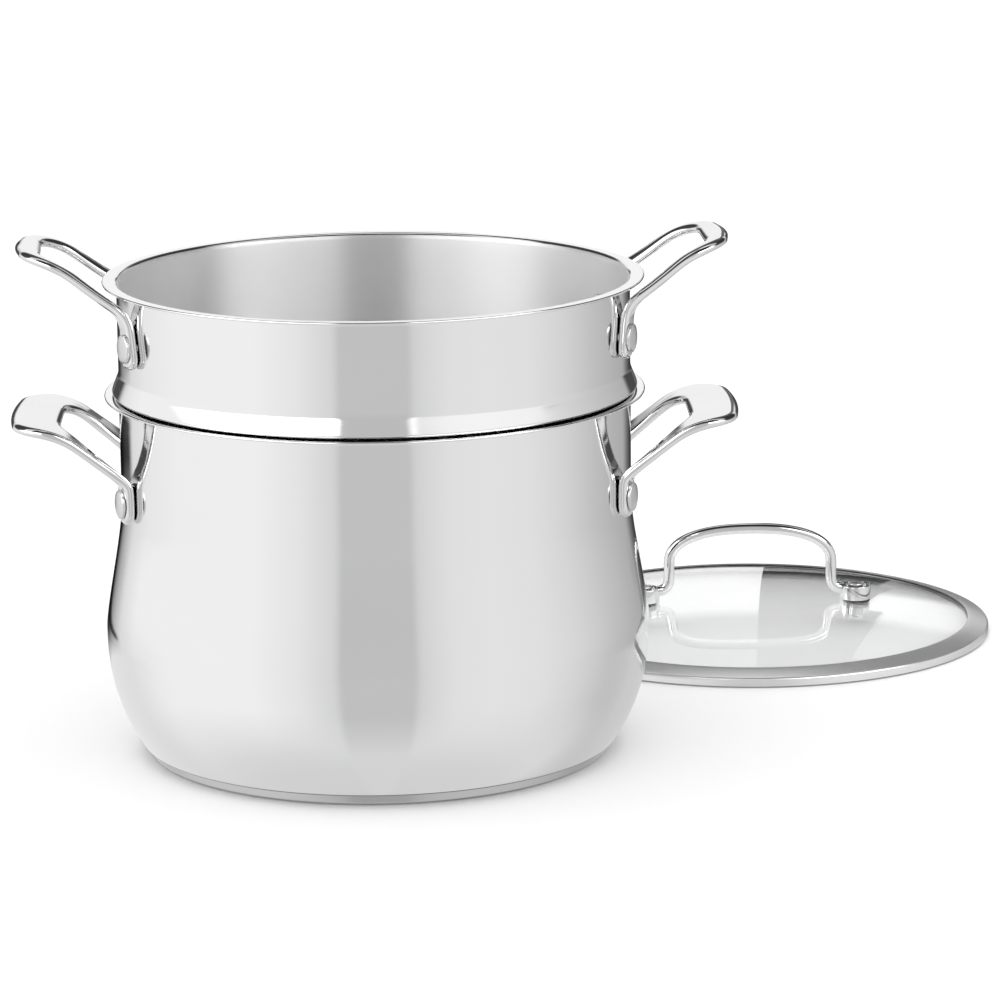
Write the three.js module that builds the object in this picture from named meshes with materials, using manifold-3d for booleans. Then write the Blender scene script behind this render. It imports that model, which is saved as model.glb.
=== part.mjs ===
// Stainless steel pasta pot with a lift-out straining insert and a glass lid.
// Millimetres, +Z up. The origin is the middle of the pot's base on the table.
// The handles point along X, and the lid lies on the table behind the pot.

import * as THREE from 'three';
import { mergeVertices } from 'three/addons/utils/BufferGeometryUtils.js';
import Module from 'manifold-3d';

const wasm = await Module();
wasm.setup();

// General sizes
const sheet = 1.0; // steel sheet of the pot and of the insert
const fitGap = 0.3; // between pieces that sit on each other
const roundSteps = 40; // facets round the large turned pieces
const smallSteps = 10; // facets round rivets, screws and pads

// Pot shell: outside of the sheet
const neckRadius = 111.1; // straight neck, 220 across inside
const bellyBulge = 7.8; // belly past the neck
const floorInset = 8.9; // flat of the floor inside the neck
const heelRun = 2.4; // from the floor's flat to the start of the side
const heelRise = 0.8;
const heelAngle = 58; // slope of the side at the heel, degrees
const heelReach = 13.5; // how long the side keeps that slope
const bellyRise = 51.4; // belly over the floor
const bellyArmBelow = 25.5; // upright run of the belly under and over its widest place
const bellyArmAbove = 10;
const shoulderRise = 56; // from the belly to the neck
const neckArm = 14; // how soon the shoulder turns upright
const neckLength = 44.6;
const lipBend = 1.8; // tight bend under a lip, on its outside
const lipSteps = 3;
const potLipReach = 6.2; // edge of the flat pouring lip, past the neck
const sideSteps = 5;

// Base: aluminium disc in a steel cap
const capInset = 1.2; // cap inside the edge of the floor's flat
const capSheet = 0.8;
const capHeight = 4.3;
const capEdge = 1.2; // rounded lower edge

// Insert shell: outside of the sheet
const collarInset = 0.1; // collar against the pot's neck
const seatGap = 0.1; // more room under the seat than fitGap, for the facets
const seatFrom = 150; // the seat follows the pot's lip, degrees round its bend
const seatTo = 95;
const seatSteps = 2;
const seatReach = 3.1; // lower edge of the seat band, past the neck
const seatRise = 2.3; // that edge over the underside of the pot's lip
const seatBand = 8.0; // height of the slanting band
const collarHeight = 37.8;
const insertLipReach = 6.2; // edge of the insert's flat lip, past its collar
const sleeveClearance = 0.8; // sleeve of the insert inside the pot's neck
const sleeveLength = 6.6;
const sleeveStep = 3.9; // from the sleeve in to the basket
const sleeveStepDrop = 4;
const basketTaper = 2.0;
const waterDepth = 22.4; // room under the basket's floor
const basketCorner = 12;
const basketCornerSteps = 3;
const insertTurn = 2.4; // degrees that the insert stands turned in the pot

// Straining holes
const holeRadius = 3.6;
const holeSides = 6;
const holesPerRow = 20;
const holeRows = 4;
const holeRowStep = 20;
const firstHoleRow = 26; // over the basket's floor
const floorRings = 2;
const floorRingStep = 26;
const firstRingCount = 6;

// Riveted loop handles: one plate, bent from the foot on the wall to the grip
const plate = 4.2;
const plateBevel = 1.4;
const bevelShare = 0.3; // of a narrow place's width, at most
const legSteps = 8;
const gripCornerSteps = 4;
const footTurns = [25, 55, 90]; // round end of a foot, degrees
const potHandleShape = {
  legWidth: 13, // at the foot
  rivetAngle: 19.2, // from the handle's middle line, degrees
  footBelow: 8.9, // foot under the rivet's middle
  bendAbove: 8.6, // bend of the leg over the rivet's middle
  gripReach: 24.3, // where the leg turns into the grip, past the wall
  gripRise: 31.4, // over the rivet
  tipReach: 46.6,
  tipRise: 32.7,
  gripDepth: 22,
  gripHalfWidth: 42,
  gripCorner: 16,
  gripBow: 1.6, // the tip's edge is slightly round
  holeHalfWidth: 31,
  holeCorner: 17,
  footBend: 2.3,
  gripBend: 11,
};
const insertHandleShape = {
  legWidth: 11,
  rivetAngle: 21.5,
  footBelow: 9.3,
  bendAbove: 13.4,
  gripReach: 27,
  gripRise: 36.2,
  tipReach: 42.8,
  tipRise: 37.8,
  gripDepth: 11.2,
  gripHalfWidth: 35.2,
  gripCorner: 19,
  gripBow: 1.6,
  holeHalfWidth: 28.4,
  holeCorner: 15,
  footBend: 6,
  gripBend: 14,
};
const potRivetRise = 5.5; // rivets over the lower end of the neck
const insertRivetRise = 18.1; // rivets over the top of the seat band

// Rivets of the loop handles
const rivetHeadRadius = 6.2;
const rivetHeadEdge = 1.3; // upright edge of the head
const rivetDome = 0.9;
const rivetDomeSteps = 3;
const rivetShankRadius = 2.5;
const rivetTailRadius = 4.8;
const rivetTailHeight = 1.6;
const rivetTailBevel = 0.8;
const rivetTailGap = 0.7; // the round wall bulges towards the flat tail

// Lid: where it lies, its steel band and its glass
const lidBearing = 47.7; // from the pot's middle, degrees round Z
const lidGap = 34.5; // between the pot's lip and the lid
const bandReach = 3.5; // band past the insert's collar
const bandSheet = 0.7;
const bandSide = 3.6; // upright outside of the band
const bandWidth = 9.9; // seen from above
const bandRise = 3.4; // inner edge over the upright side
const bandFootWidth = 7.8; // flange under the glass
const bandEdge = 0.6;
const glassThickness = 3.6;
const glassDome = 8.1; // middle of the glass over the band
const glassEdgeGap = 2.6; // glass edge to the inside of the band
const glassSteps = 5;

// Lid handle: bent rod with a cup at each end, screwed through the glass
const rodRadius = 2.6;
const rodSides = 8;
const rodSteps = 40;
const rodEndRise = 2.8; // ends of the rod over the cups' underside
const cupSpacing = 102; // between the two screws
const legSpacing = 78.1;
const archRise = 17; // arch over its legs
const archPower = 2.4; // squarer than an ellipse, whose power is 2
const archSteps = 5;
const legTopRise = 16; // top of the legs over the cups' underside
const legDrop = 7; // upright part of a leg
const cupRadius = 7.3;
const cupWall = 1.4;
const cupFloor = 1.4;
const cupHeight = 4.6;
const cupSteps = 16;
const screwHeadRadius = 3.4;
const screwHeadHeight = 3.8;
const screwHeadBevel = 0.9;
const screwRadius = 2.0;
const padInset = 0.4; // dark pad inside the cup's outside
const padHeight = 2.4; // under the screw
const lowerPadRadius = 6.0;
const lowerPadHeight = 1.4;
const nutRadius = 4.0;
const nutSides = 6;
const nutHeight = 3.6;
const screwEnd = 0.8; // screw past the nut

// Radii and heights that follow from these
const potFloor = capHeight + fitGap;
const floorRadius = neckRadius - floorInset;
const capRadius = floorRadius - capInset;
const bellyRadius = neckRadius + bellyBulge;
const bellyHeight = potFloor + bellyRise;
const neckHeight = bellyHeight + shoulderRise;
const potLipStart = neckHeight + neckLength;
const collarRadius = neckRadius - collarInset;
const sleeveRadius = neckRadius - sheet - sleeveClearance;
const seatEdgeRadius = neckRadius + seatReach;
const seatEdgeHeight = potLipStart + lipBend + seatRise;
const creaseHeight = seatEdgeHeight + seatBand;
const insertLipStart = creaseHeight + collarHeight;
const sleeveBottom = potLipStart - sleeveLength;
const basketTopRadius = sleeveRadius - sleeveStep;
const basketTop = sleeveBottom - sleeveStepDrop;
const basketRadius = basketTopRadius - basketTaper;
const basketFloor = potFloor + sheet + waterDepth;
const potHandle = {
  ...potHandleShape,
  wallRadius: neckRadius,
  rivetHeight: neckHeight + potRivetRise,
};
const insertHandle = {
  ...insertHandleShape,
  wallRadius: collarRadius,
  rivetHeight: creaseHeight + insertRivetRise,
};
const bandRadius = collarRadius + bandReach;
const bandInnerRadius = bandRadius - bandWidth;
const bandInnerHeight = bandSide + bandRise;
const bandFootRadius = bandRadius - bandFootWidth;
const bandSlope = (bandRise - bandEdge) / (bandWidth - bandEdge);
const glassCrown = bandInnerHeight + glassDome;
const glassRadius = bandRadius - bandSheet - glassEdgeGap;
const glassShowHeight = bandInnerHeight - bandSheet - fitGap;
const glassSag = (glassCrown - glassShowHeight) / bandInnerRadius ** 2;
const glassHeight = (radius) => glassCrown - glassSag * radius ** 2;
const lidDistance = neckRadius + potLipReach + lidGap + bandRadius;
const stackX = cupSpacing / 2;
const padTop = glassHeight(stackX) + fitGap + padHeight;
const cupBottom = padTop + fitGap;
const lowerPadTop = glassHeight(stackX + lowerPadRadius) - glassThickness - fitGap;
const nutTop = lowerPadTop - lowerPadHeight - fitGap;
const nutBottom = nutTop - nutHeight;

const degrees = THREE.MathUtils.degToRad;

// Materials
function steel(color, roughness) {
  return new THREE.MeshStandardMaterial({ color, roughness, metalness: 1 });
}
const polishedSteel = () => steel(0xd6d7d8, 0.12);
const castSteel = () => steel(0xcfd0d1, 0.1);
const satinSteel = () => steel(0xb9babb, 0.35);
const aluminium = () => steel(0xb4b7ba, 0.5);
const clearGlass = () => new THREE.MeshStandardMaterial({
  color: 0xe9eeee, roughness: 0.04, metalness: 0, transparent: true, opacity: 0.3,
});
function silicone(color) {
  return new THREE.MeshStandardMaterial({ color, roughness: 0.7, metalness: 0 });
}
const darkSilicone = () => silicone(0x2a2a2b);
const paleSilicone = () => silicone(0xc9cacb);

// Solids: closed meshes for the boolean cuts and back
function toSolid(geometry) {
  const bare = geometry.clone();
  bare.deleteAttribute('normal');
  bare.deleteAttribute('uv');
  const merged = mergeVertices(bare, 1e-4);
  const index = merged.index.array;
  const triVerts = [];
  for (let i = 0; i < index.length; i += 3) {
    const [a, b, c] = [index[i], index[i + 1], index[i + 2]];
    if (a !== b && b !== c && c !== a) triVerts.push(a, b, c);
  }
  return new wasm.Manifold(new wasm.Mesh({
    numProp: 3,
    vertProperties: new Float32Array(merged.attributes.position.array),
    triVerts: new Uint32Array(triVerts),
  }));
}

function toGeometry(solid) {
  const mesh = solid.getMesh();
  const geometry = new THREE.BufferGeometry();
  geometry.setAttribute('position', new THREE.BufferAttribute(mesh.vertProperties, mesh.numProp));
  geometry.setIndex(new THREE.BufferAttribute(mesh.triVerts, 1));
  geometry.computeVertexNormals();
  return geometry;
}

// Turned piece about Z from [radius, height] points
function turned(points, steps = roundSteps) {
  const profile = points.map(([radius, height]) => new THREE.Vector2(radius, height));
  return new THREE.LatheGeometry(profile, steps).rotateX(Math.PI / 2);
}

// Round bar along Z about the origin
function bar(radius, length, steps) {
  return new THREE.CylinderGeometry(radius, radius, length, steps).rotateX(Math.PI / 2);
}

// Points of a path, moved sideways by a distance to the left of its direction
function offsetPath(points, distance) {
  return points.map((point, i) => {
    const before = points[Math.max(i - 1, 0)];
    const after = points[Math.min(i + 1, points.length - 1)];
    const come = new THREE.Vector2(point[0] - before[0], point[1] - before[1]).normalize();
    const go = new THREE.Vector2(after[0] - point[0], after[1] - point[1]).normalize();
    const along = come.clone().add(go).normalize();
    const straight = come.lengthSq() > 0 ? come : go;
    const reach = distance / along.dot(straight);
    return [point[0] - along.y * reach, point[1] + along.x * reach];
  });
}

// Sheet steel bowl: the outside runs from the axis to the lip
function sheetProfile(outside) {
  const inside = offsetPath(outside, sheet);
  inside[0][0] = 0;
  return [...outside, ...inside.reverse()];
}

function arcPoints(centre, radius, from, to, steps) {
  const points = [];
  for (let i = 0; i <= steps; i += 1) {
    const angle = degrees(from + (to - from) * (i / steps));
    points.push([centre[0] + radius * Math.cos(angle), centre[1] + radius * Math.sin(angle)]);
  }
  return points;
}

function bezierPoints(a, b, c, d, steps) {
  const corners = [a, b, c, d].map(([x, y]) => new THREE.Vector2(x, y));
  return new THREE.CubicBezierCurve(...corners).getPoints(steps).map(({ x, y }) => [x, y]);
}

// Flat lip, turned out from an upright wall round a tight bend
function lipPoints(wallRadius, start, reach) {
  const bend = arcPoints([wallRadius + lipBend, start], lipBend, 180, 90, lipSteps);
  return [...bend, [wallRadius + reach, start + lipBend]];
}

// Pot shell
function potShellGeometry() {
  const heel = new THREE.Vector2(floorRadius + heelRun, potFloor + heelRise);
  const slope = new THREE.Vector2(Math.cos(degrees(heelAngle)), Math.sin(degrees(heelAngle)));
  const heelArm = heel.clone().addScaledVector(slope, heelReach);
  const belly = [bellyRadius, bellyHeight];
  const side = bezierPoints(
    heel.toArray(),
    heelArm.toArray(),
    [bellyRadius, bellyHeight - bellyArmBelow],
    belly,
    sideSteps,
  );
  const shoulder = bezierPoints(
    belly,
    [bellyRadius, bellyHeight + bellyArmAbove],
    [neckRadius, neckHeight - neckArm],
    [neckRadius, neckHeight],
    sideSteps,
  );
  const outside = [
    [0, potFloor],
    [floorRadius, potFloor],
    ...side,
    ...shoulder.slice(1),
    ...lipPoints(neckRadius, potLipStart, potLipReach),
  ];
  return turned(sheetProfile(outside));
}

function baseCapGeometry() {
  const inner = capRadius - capSheet;
  return turned([
    [0, 0],
    [capRadius - capEdge, 0],
    [capRadius, capEdge],
    [capRadius, capHeight],
    [inner, capHeight],
    [inner, capEdge + capSheet / 2],
    [inner - capEdge, capSheet],
    [0, capSheet],
  ]);
}

function baseCoreGeometry() {
  const radius = capRadius - capSheet - fitGap;
  const bottom = capSheet + fitGap;
  return turned([
    [0, bottom],
    [radius - capEdge - fitGap, bottom],
    [radius, bottom + capEdge],
    [radius, capHeight],
    [0, capHeight],
  ]);
}

// Insert shell: collar, seat band, sleeve and perforated basket
function insertShellGeometry() {
  const lipCentre = [neckRadius + lipBend, potLipStart];
  const seatRadius = lipBend + sheet + fitGap + seatGap;
  const cornerCentre = [basketRadius - basketCorner, basketFloor + basketCorner];
  const outside = [
    [0, basketFloor],
    ...arcPoints(cornerCentre, basketCorner, -90, 0, basketCornerSteps),
    [basketTopRadius, basketTop],
    [sleeveRadius, sleeveBottom],
    [sleeveRadius, potLipStart],
    ...arcPoints(lipCentre, seatRadius, seatFrom, seatTo, seatSteps),
    [seatEdgeRadius, seatEdgeHeight],
    [collarRadius, creaseHeight],
    ...lipPoints(collarRadius, insertLipStart, insertLipReach),
  ];
  return perforated(toSolid(turned(sheetProfile(outside))));
}

function perforated(shell) {
  const cutters = [];
  const facet = 360 / roundSteps;
  const cutterLength = 3 * holeRadius;
  for (let row = 0; row < holeRows; row += 1) {
    const height = basketFloor + firstHoleRow + row * holeRowStep;
    for (let i = 0; i < holesPerRow; i += 1) {
      const turn = (360 / holesPerRow) * i + facet * (row % 2) + facet / 2;
      const cutter = bar(holeRadius, cutterLength, holeSides).rotateY(Math.PI / 2);
      cutter.translate(basketRadius, 0, height);
      cutters.push(toSolid(cutter.rotateZ(degrees(turn))));
    }
  }
  for (let ring = 0; ring <= floorRings; ring += 1) {
    const count = Math.max(firstRingCount * ring, 1);
    for (let i = 0; i < count; i += 1) {
      const cutter = bar(holeRadius, cutterLength, holeSides);
      cutter.translate(ring * floorRingStep, 0, basketFloor);
      cutters.push(toSolid(cutter.rotateZ((2 * Math.PI * i) / count)));
    }
  }
  return shell.subtract(wasm.Manifold.union(cutters));
}

// Handle plate: side line from the foot's end to the tip, with rounded bends
function handleSideLine(handle) {
  const middle = handle.wallRadius + fitGap + plate / 2;
  const footX = middle * Math.cos(degrees(handle.rivetAngle));
  const { wallRadius, rivetHeight } = handle;
  const footEnd = new THREE.Vector2(footX, rivetHeight - handle.footBelow);
  const bend = new THREE.Vector2(footX, rivetHeight + handle.bendAbove);
  const grip = new THREE.Vector2(wallRadius + handle.gripReach, rivetHeight + handle.gripRise);
  const tip = new THREE.Vector2(wallRadius + handle.tipReach, rivetHeight + handle.tipRise);
  const toward = (from, to, length) => from.clone().add(to.clone().sub(from).setLength(length));
  const line = new THREE.Path();
  line.moveTo(footEnd.x, footEnd.y);
  for (const [corner, before, after, reach] of [
    [bend, footEnd, grip, handle.footBend],
    [grip, bend, tip, handle.gripBend],
  ]) {
    const start = toward(corner, before, reach);
    const end = toward(corner, after, reach);
    line.lineTo(start.x, start.y);
    line.quadraticCurveTo(corner.x, corner.y, end.x, end.y);
  }
  line.lineTo(tip.x, tip.y);
  return line;
}

// One half of the flat plate: stations of [inner edge, outer edge], each [length, offset]
function handleStations(handle, length) {
  const { legWidth, gripHalfWidth, gripCorner, gripBow, holeHalfWidth, holeCorner } = handle;
  const footMiddle = (handle.wallRadius + plate / 2) * Math.sin(degrees(handle.rivetAngle));
  const half = legWidth / 2;
  const holeEnd = length - handle.gripDepth;
  const legInner = footMiddle - half;
  const legOuter = footMiddle + half;
  const innerTop = holeEnd - holeCorner;
  const outerTop = length - gripBow - gripCorner;
  const stations = [];
  for (const turn of footTurns) {
    const s = half * (1 - Math.cos(degrees(turn)));
    const width = half * Math.sin(degrees(turn));
    stations.push([[s, footMiddle - width], [s, footMiddle + width]]);
  }
  for (let i = 1; i <= legSteps; i += 1) {
    const t = i / legSteps;
    stations.push([
      [half + (innerTop - half) * t, legInner + (holeHalfWidth - legInner) * t],
      [half + (outerTop - half) * t, legOuter + (gripHalfWidth - legOuter) * t],
    ]);
  }
  for (let i = 1; i <= gripCornerSteps; i += 1) {
    const angle = degrees((90 * i) / gripCornerSteps);
    const up = Math.sin(angle);
    const inward = 1 - Math.cos(angle);
    stations.push([
      [innerTop + holeCorner * up, holeHalfWidth - holeCorner * inward],
      [outerTop + gripCorner * up, gripHalfWidth - gripCorner * inward],
    ]);
  }
  const holeFlat = holeHalfWidth - holeCorner;
  const gripFlat = gripHalfWidth - gripCorner;
  stations.push([[holeEnd, holeFlat / 2], [length - gripBow / 4, gripFlat / 2]]);
  stations.push([[holeEnd, 0], [length, 0]]);
  return stations;
}

// Loop handle on the +X side
function handleGeometry(handle) {
  const line = handleSideLine(handle);
  const length = line.getLength();
  const middle = handle.wallRadius + fitGap + plate / 2;
  const rivetOffset = middle * Math.sin(degrees(handle.rivetAngle));
  const wallSag = (y) => middle - Math.sqrt(middle * middle - y * y);
  const footLength = handle.footBelow + handle.bendAbove;
  const place = (s, y, height) => {
    const t = THREE.MathUtils.clamp(s / length, 0, 1);
    const point = line.getPointAt(t);
    const along = line.getTangentAt(t);
    const follow = 1 - THREE.MathUtils.smoothstep(s, footLength, length - handle.gripDepth);
    const sag = follow * (wallSag(y) - wallSag(rivetOffset));
    return [point.x + along.y * height - sag, y, point.y - along.x * height];
  };
  const half = plate / 2;
  const section = (width) => {
    const edge = Math.min(plateBevel / width, bevelShare);
    const inner = half - plateBevel;
    return [
      [edge, half], [1 / 2, half], [1 - edge, half], [1, inner], [1, -inner],
      [1 - edge, -half], [1 / 2, -half], [edge, -half], [0, -inner], [0, inner],
    ];
  };
  const oneHalf = handleStations(handle, length);
  const mirrored = oneHalf.slice(0, -1).reverse();
  const rings = [];
  const addRing = ([inner, outer], sign) => {
    const width = Math.hypot(outer[0] - inner[0], outer[1] - inner[1]);
    rings.push(section(width).map(([across, height]) => {
      const s = inner[0] + (outer[0] - inner[0]) * across;
      const y = inner[1] + (outer[1] - inner[1]) * across;
      return place(s, sign * y, height);
    }));
  };
  oneHalf.forEach((station) => addRing(station, 1));
  mirrored.forEach((station) => addRing(station, -1));
  return loft(rings);
}

// Closed skin over rings of points, with flat ends
function loft(rings) {
  const count = rings[0].length;
  const last = (rings.length - 1) * count;
  const index = [];
  for (let r = 0; r + 1 < rings.length; r += 1) {
    for (let i = 0; i < count; i += 1) {
      const [a, b] = [r * count + i, r * count + ((i + 1) % count)];
      index.push(a, b, a + count, b, b + count, a + count);
    }
  }
  for (let i = 1; i + 1 < count; i += 1) {
    index.push(0, i + 1, i);
    index.push(last, last + i, last + i + 1);
  }
  const geometry = new THREE.BufferGeometry();
  geometry.setAttribute('position', new THREE.Float32BufferAttribute(rings.flat(2), 3));
  geometry.setIndex(index);
  return geometry;
}

// Rivet along +X, its head outside the foot and its tail inside the wall
function rivetGeometry(handle) {
  const seat = handle.wallRadius + fitGap + plate + fitGap;
  const tail = handle.wallRadius - sheet - rivetTailGap;
  const tailEnd = tail - rivetTailHeight;
  const domeStart = seat + rivetHeadEdge;
  const domeRadius = (rivetHeadRadius ** 2 + rivetDome ** 2) / (2 * rivetDome);
  const domeAngle = THREE.MathUtils.radToDeg(Math.asin(rivetHeadRadius / domeRadius));
  const domeCentre = [0, domeStart + rivetDome - domeRadius];
  const dome = arcPoints(domeCentre, domeRadius, 90 - domeAngle, 90, rivetDomeSteps);
  dome[rivetDomeSteps][0] = 0;
  const profile = [
    [0, tailEnd],
    [rivetTailRadius - rivetTailBevel, tailEnd],
    [rivetTailRadius, tailEnd + rivetTailBevel],
    [rivetTailRadius, tail],
    [rivetShankRadius, tail],
    [rivetShankRadius, seat],
    [rivetHeadRadius, seat],
    ...dome,
  ];
  return turned(profile, smallSteps).rotateY(Math.PI / 2);
}

function rivetPlaces(handle) {
  return [['front', -handle.rivetAngle], ['back', handle.rivetAngle]];
}

// Drill for a rivet's shank, through foot and wall
function rivetDrill(handle, angle) {
  const depth = 3 * (plate + sheet);
  const drill = bar(rivetShankRadius + fitGap, depth, smallSteps).rotateY(Math.PI / 2);
  drill.translate(handle.wallRadius, 0, handle.rivetHeight);
  return toSolid(drill.rotateZ(degrees(angle)));
}

function drilled(solid, handle, turns) {
  const drills = [];
  for (const turn of turns) {
    for (const [, angle] of rivetPlaces(handle)) drills.push(rivetDrill(handle, angle + turn));
  }
  return toGeometry(solid.subtract(wasm.Manifold.union(drills)));
}

// Lid pieces, about the lid's own middle
function lidBandGeometry() {
  const outer = bandRadius;
  const inner = outer - bandSheet;
  const underSlope = bandInnerHeight - bandSheet - bandSlope * (inner - bandEdge - bandInnerRadius);
  return turned([
    [bandFootRadius, 0],
    [outer - bandEdge, 0],
    [outer, bandEdge],
    [outer, bandSide],
    [outer - bandEdge, bandSide + bandEdge],
    [bandInnerRadius, bandInnerHeight],
    [bandInnerRadius, bandInnerHeight - bandSheet],
    [inner - bandEdge, underSlope],
    [inner, underSlope - bandEdge],
    [inner, bandSheet],
    [bandFootRadius, bandSheet],
    [bandFootRadius, 0],
  ]);
}

function lidGlassGeometry(lift = 0) {
  const top = [];
  for (let i = 0; i <= glassSteps; i += 1) {
    const radius = (bandInnerRadius * i) / glassSteps;
    top.push([radius, glassHeight(radius) + lift]);
  }
  const edgeTop = glassShowHeight - bandSlope * (glassRadius - bandInnerRadius) + lift;
  const edgeBottom = bandSheet + fitGap + lift;
  const bottom = top.map(([radius, height]) => [radius, height - glassThickness]);
  return turned([...bottom, [glassRadius, edgeBottom], [glassRadius, edgeTop], ...top.reverse()]);
}

function lidScrewHole(x) {
  const hole = bar(screwRadius + fitGap, 4 * glassThickness, smallSteps);
  return toSolid(hole.translate(x, 0, glassHeight(x) - glassThickness / 2));
}

function lidHandleGeometry() {
  const leg = legSpacing / 2;
  const legTop = cupBottom + legTopRise;
  const end = stackX - cupRadius + rodRadius;
  const endHeight = cupBottom + rodEndRise;
  const arch = [];
  for (let i = 0; i <= archSteps; i += 1) {
    const angle = degrees(90 - (90 * i) / archSteps);
    const across = Math.cos(angle) ** (2 / archPower);
    const up = Math.sin(angle) ** (2 / archPower);
    arch.push([leg * across, legTop + archRise * up]);
  }
  const oneSide = [
    ...arch,
    [leg, legTop - legDrop],
    [leg + rodRadius, endHeight + rodRadius],
    [end, endHeight],
  ];
  const otherSide = oneSide.slice(1).map(([x, z]) => [-x, z]).reverse();
  const points = [...otherSide, ...oneSide].map(([x, z]) => new THREE.Vector3(x, 0, z));
  const section = new THREE.Shape();
  section.absarc(0, 0, rodRadius, 0, 2 * Math.PI);
  const rod = new THREE.ExtrudeGeometry(section, {
    steps: rodSteps,
    curveSegments: rodSides / 2,
    extrudePath: new THREE.CatmullRomCurve3(points),
  });
  let handle = toSolid(rod);
  for (const x of [-stackX, stackX]) {
    const body = bar(cupRadius, cupHeight, cupSteps).translate(x, 0, cupBottom + cupHeight / 2);
    const bore = bar(cupRadius - cupWall, cupHeight, cupSteps);
    bore.translate(x, 0, cupBottom + cupFloor + cupHeight / 2);
    handle = handle.add(toSolid(body)).subtract(toSolid(bore)).subtract(lidScrewHole(x));
  }
  return toGeometry(handle);
}

function ringGeometry(radius, bottom, top) {
  const bore = screwRadius + fitGap;
  const outline = [[bore, bottom], [radius, bottom], [radius, top], [bore, top], [bore, bottom]];
  return turned(outline, smallSteps);
}

function lidPadGeometry(x) {
  const pad = ringGeometry(cupRadius - padInset, padTop - 2 * padHeight, padTop).translate(x, 0, 0);
  return toGeometry(toSolid(pad).subtract(toSolid(lidGlassGeometry(fitGap))));
}

function lidLowerPadGeometry(x) {
  const bottom = lowerPadTop - lowerPadHeight;
  const pad = ringGeometry(lowerPadRadius, bottom, bottom + 2 * lowerPadHeight).translate(x, 0, 0);
  return toGeometry(toSolid(pad).subtract(toSolid(lidGlassGeometry(-fitGap))));
}

function lidScrewGeometry() {
  const seat = cupBottom + cupFloor + fitGap;
  const top = seat + screwHeadHeight;
  return turned([
    [0, nutBottom - screwEnd],
    [screwRadius, nutBottom - screwEnd],
    [screwRadius, seat],
    [screwHeadRadius, seat],
    [screwHeadRadius, top - screwHeadBevel],
    [screwHeadRadius - screwHeadBevel, top],
    [0, top],
  ], smallSteps);
}

function lidNutGeometry() {
  const body = toSolid(bar(nutRadius, nutHeight, nutSides));
  const bore = toSolid(bar(screwRadius + fitGap, 2 * nutHeight, smallSteps));
  return toGeometry(body.subtract(bore)).translate(0, 0, nutBottom + nutHeight / 2);
}

// Assembly
function named(name, geometry, material) {
  const mesh = new THREE.Mesh(geometry, material);
  mesh.name = name;
  return mesh;
}

const sides = [['left', 180], ['right', 0]];

function addHandles(group, prefix, handle) {
  const solid = toSolid(handleGeometry(handle));
  for (const [side, turn] of sides) {
    const mesh = named(`${prefix}_handle_${side}`, drilled(solid, handle, [0]), castSteel());
    mesh.rotation.z = degrees(turn);
    group.add(mesh);
    for (const [end, angle] of rivetPlaces(handle)) {
      const place = turn === 0 ? end : { front: 'back', back: 'front' }[end];
      const rivet = named(`${prefix}_rivet_${side}_${place}`, rivetGeometry(handle), satinSteel());
      rivet.position.z = handle.rivetHeight;
      rivet.rotation.z = degrees(turn + angle);
      group.add(rivet);
    }
  }
}

const pot = new THREE.Group();
const turns = sides.map(([, turn]) => turn);
pot.add(named('pot_shell', drilled(toSolid(potShellGeometry()), potHandle, turns), polishedSteel()));
pot.add(named('base_core', baseCoreGeometry(), aluminium()));
pot.add(named('base_cap', baseCapGeometry(), polishedSteel()));
addHandles(pot, 'pot', potHandle);

const insert = new THREE.Group();
insert.add(named('insert_shell', drilled(insertShellGeometry(), insertHandle, turns), polishedSteel()));
addHandles(insert, 'insert', insertHandle);
insert.rotation.z = degrees(insertTurn);

const lid = new THREE.Group();
let glass = toSolid(lidGlassGeometry());
for (const x of [-stackX, stackX]) glass = glass.subtract(lidScrewHole(x));
lid.add(named('lid_glass', toGeometry(glass), clearGlass()));
lid.add(named('lid_band', lidBandGeometry(), polishedSteel()));
lid.add(named('lid_handle', lidHandleGeometry(), castSteel()));
for (const [side, x] of [['left', -stackX], ['right', stackX]]) {
  const screw = named(`lid_screw_${side}`, lidScrewGeometry(), satinSteel());
  const nut = named(`lid_nut_${side}`, lidNutGeometry(), satinSteel());
  screw.position.x = x;
  nut.position.x = x;
  lid.add(screw, nut);
  lid.add(named(`lid_pad_${side}`, lidPadGeometry(x), darkSilicone()));
  lid.add(named(`lid_lower_pad_${side}`, lidLowerPadGeometry(x), paleSilicone()));
}
lid.position.x = lidDistance * Math.cos(degrees(lidBearing));
lid.position.y = lidDistance * Math.sin(degrees(lidBearing));

const pastaPot = new THREE.Group();
pastaPot.add(pot, insert, lid);

export default pastaPot;
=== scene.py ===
import bmesh
import bpy
import math
from mathutils import Matrix, Vector


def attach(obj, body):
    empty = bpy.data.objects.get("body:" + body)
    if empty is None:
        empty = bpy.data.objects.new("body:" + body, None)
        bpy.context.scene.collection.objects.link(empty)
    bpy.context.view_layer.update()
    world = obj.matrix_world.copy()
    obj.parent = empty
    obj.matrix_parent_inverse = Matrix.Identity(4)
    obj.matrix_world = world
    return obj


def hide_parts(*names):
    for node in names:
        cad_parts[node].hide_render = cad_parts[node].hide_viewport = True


# Polished pasta pot with its straining insert and glass lid, on a white table.
# Sizes of the pieces are millimetres and degrees. The scene, its light and its camera are in metres.

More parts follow.
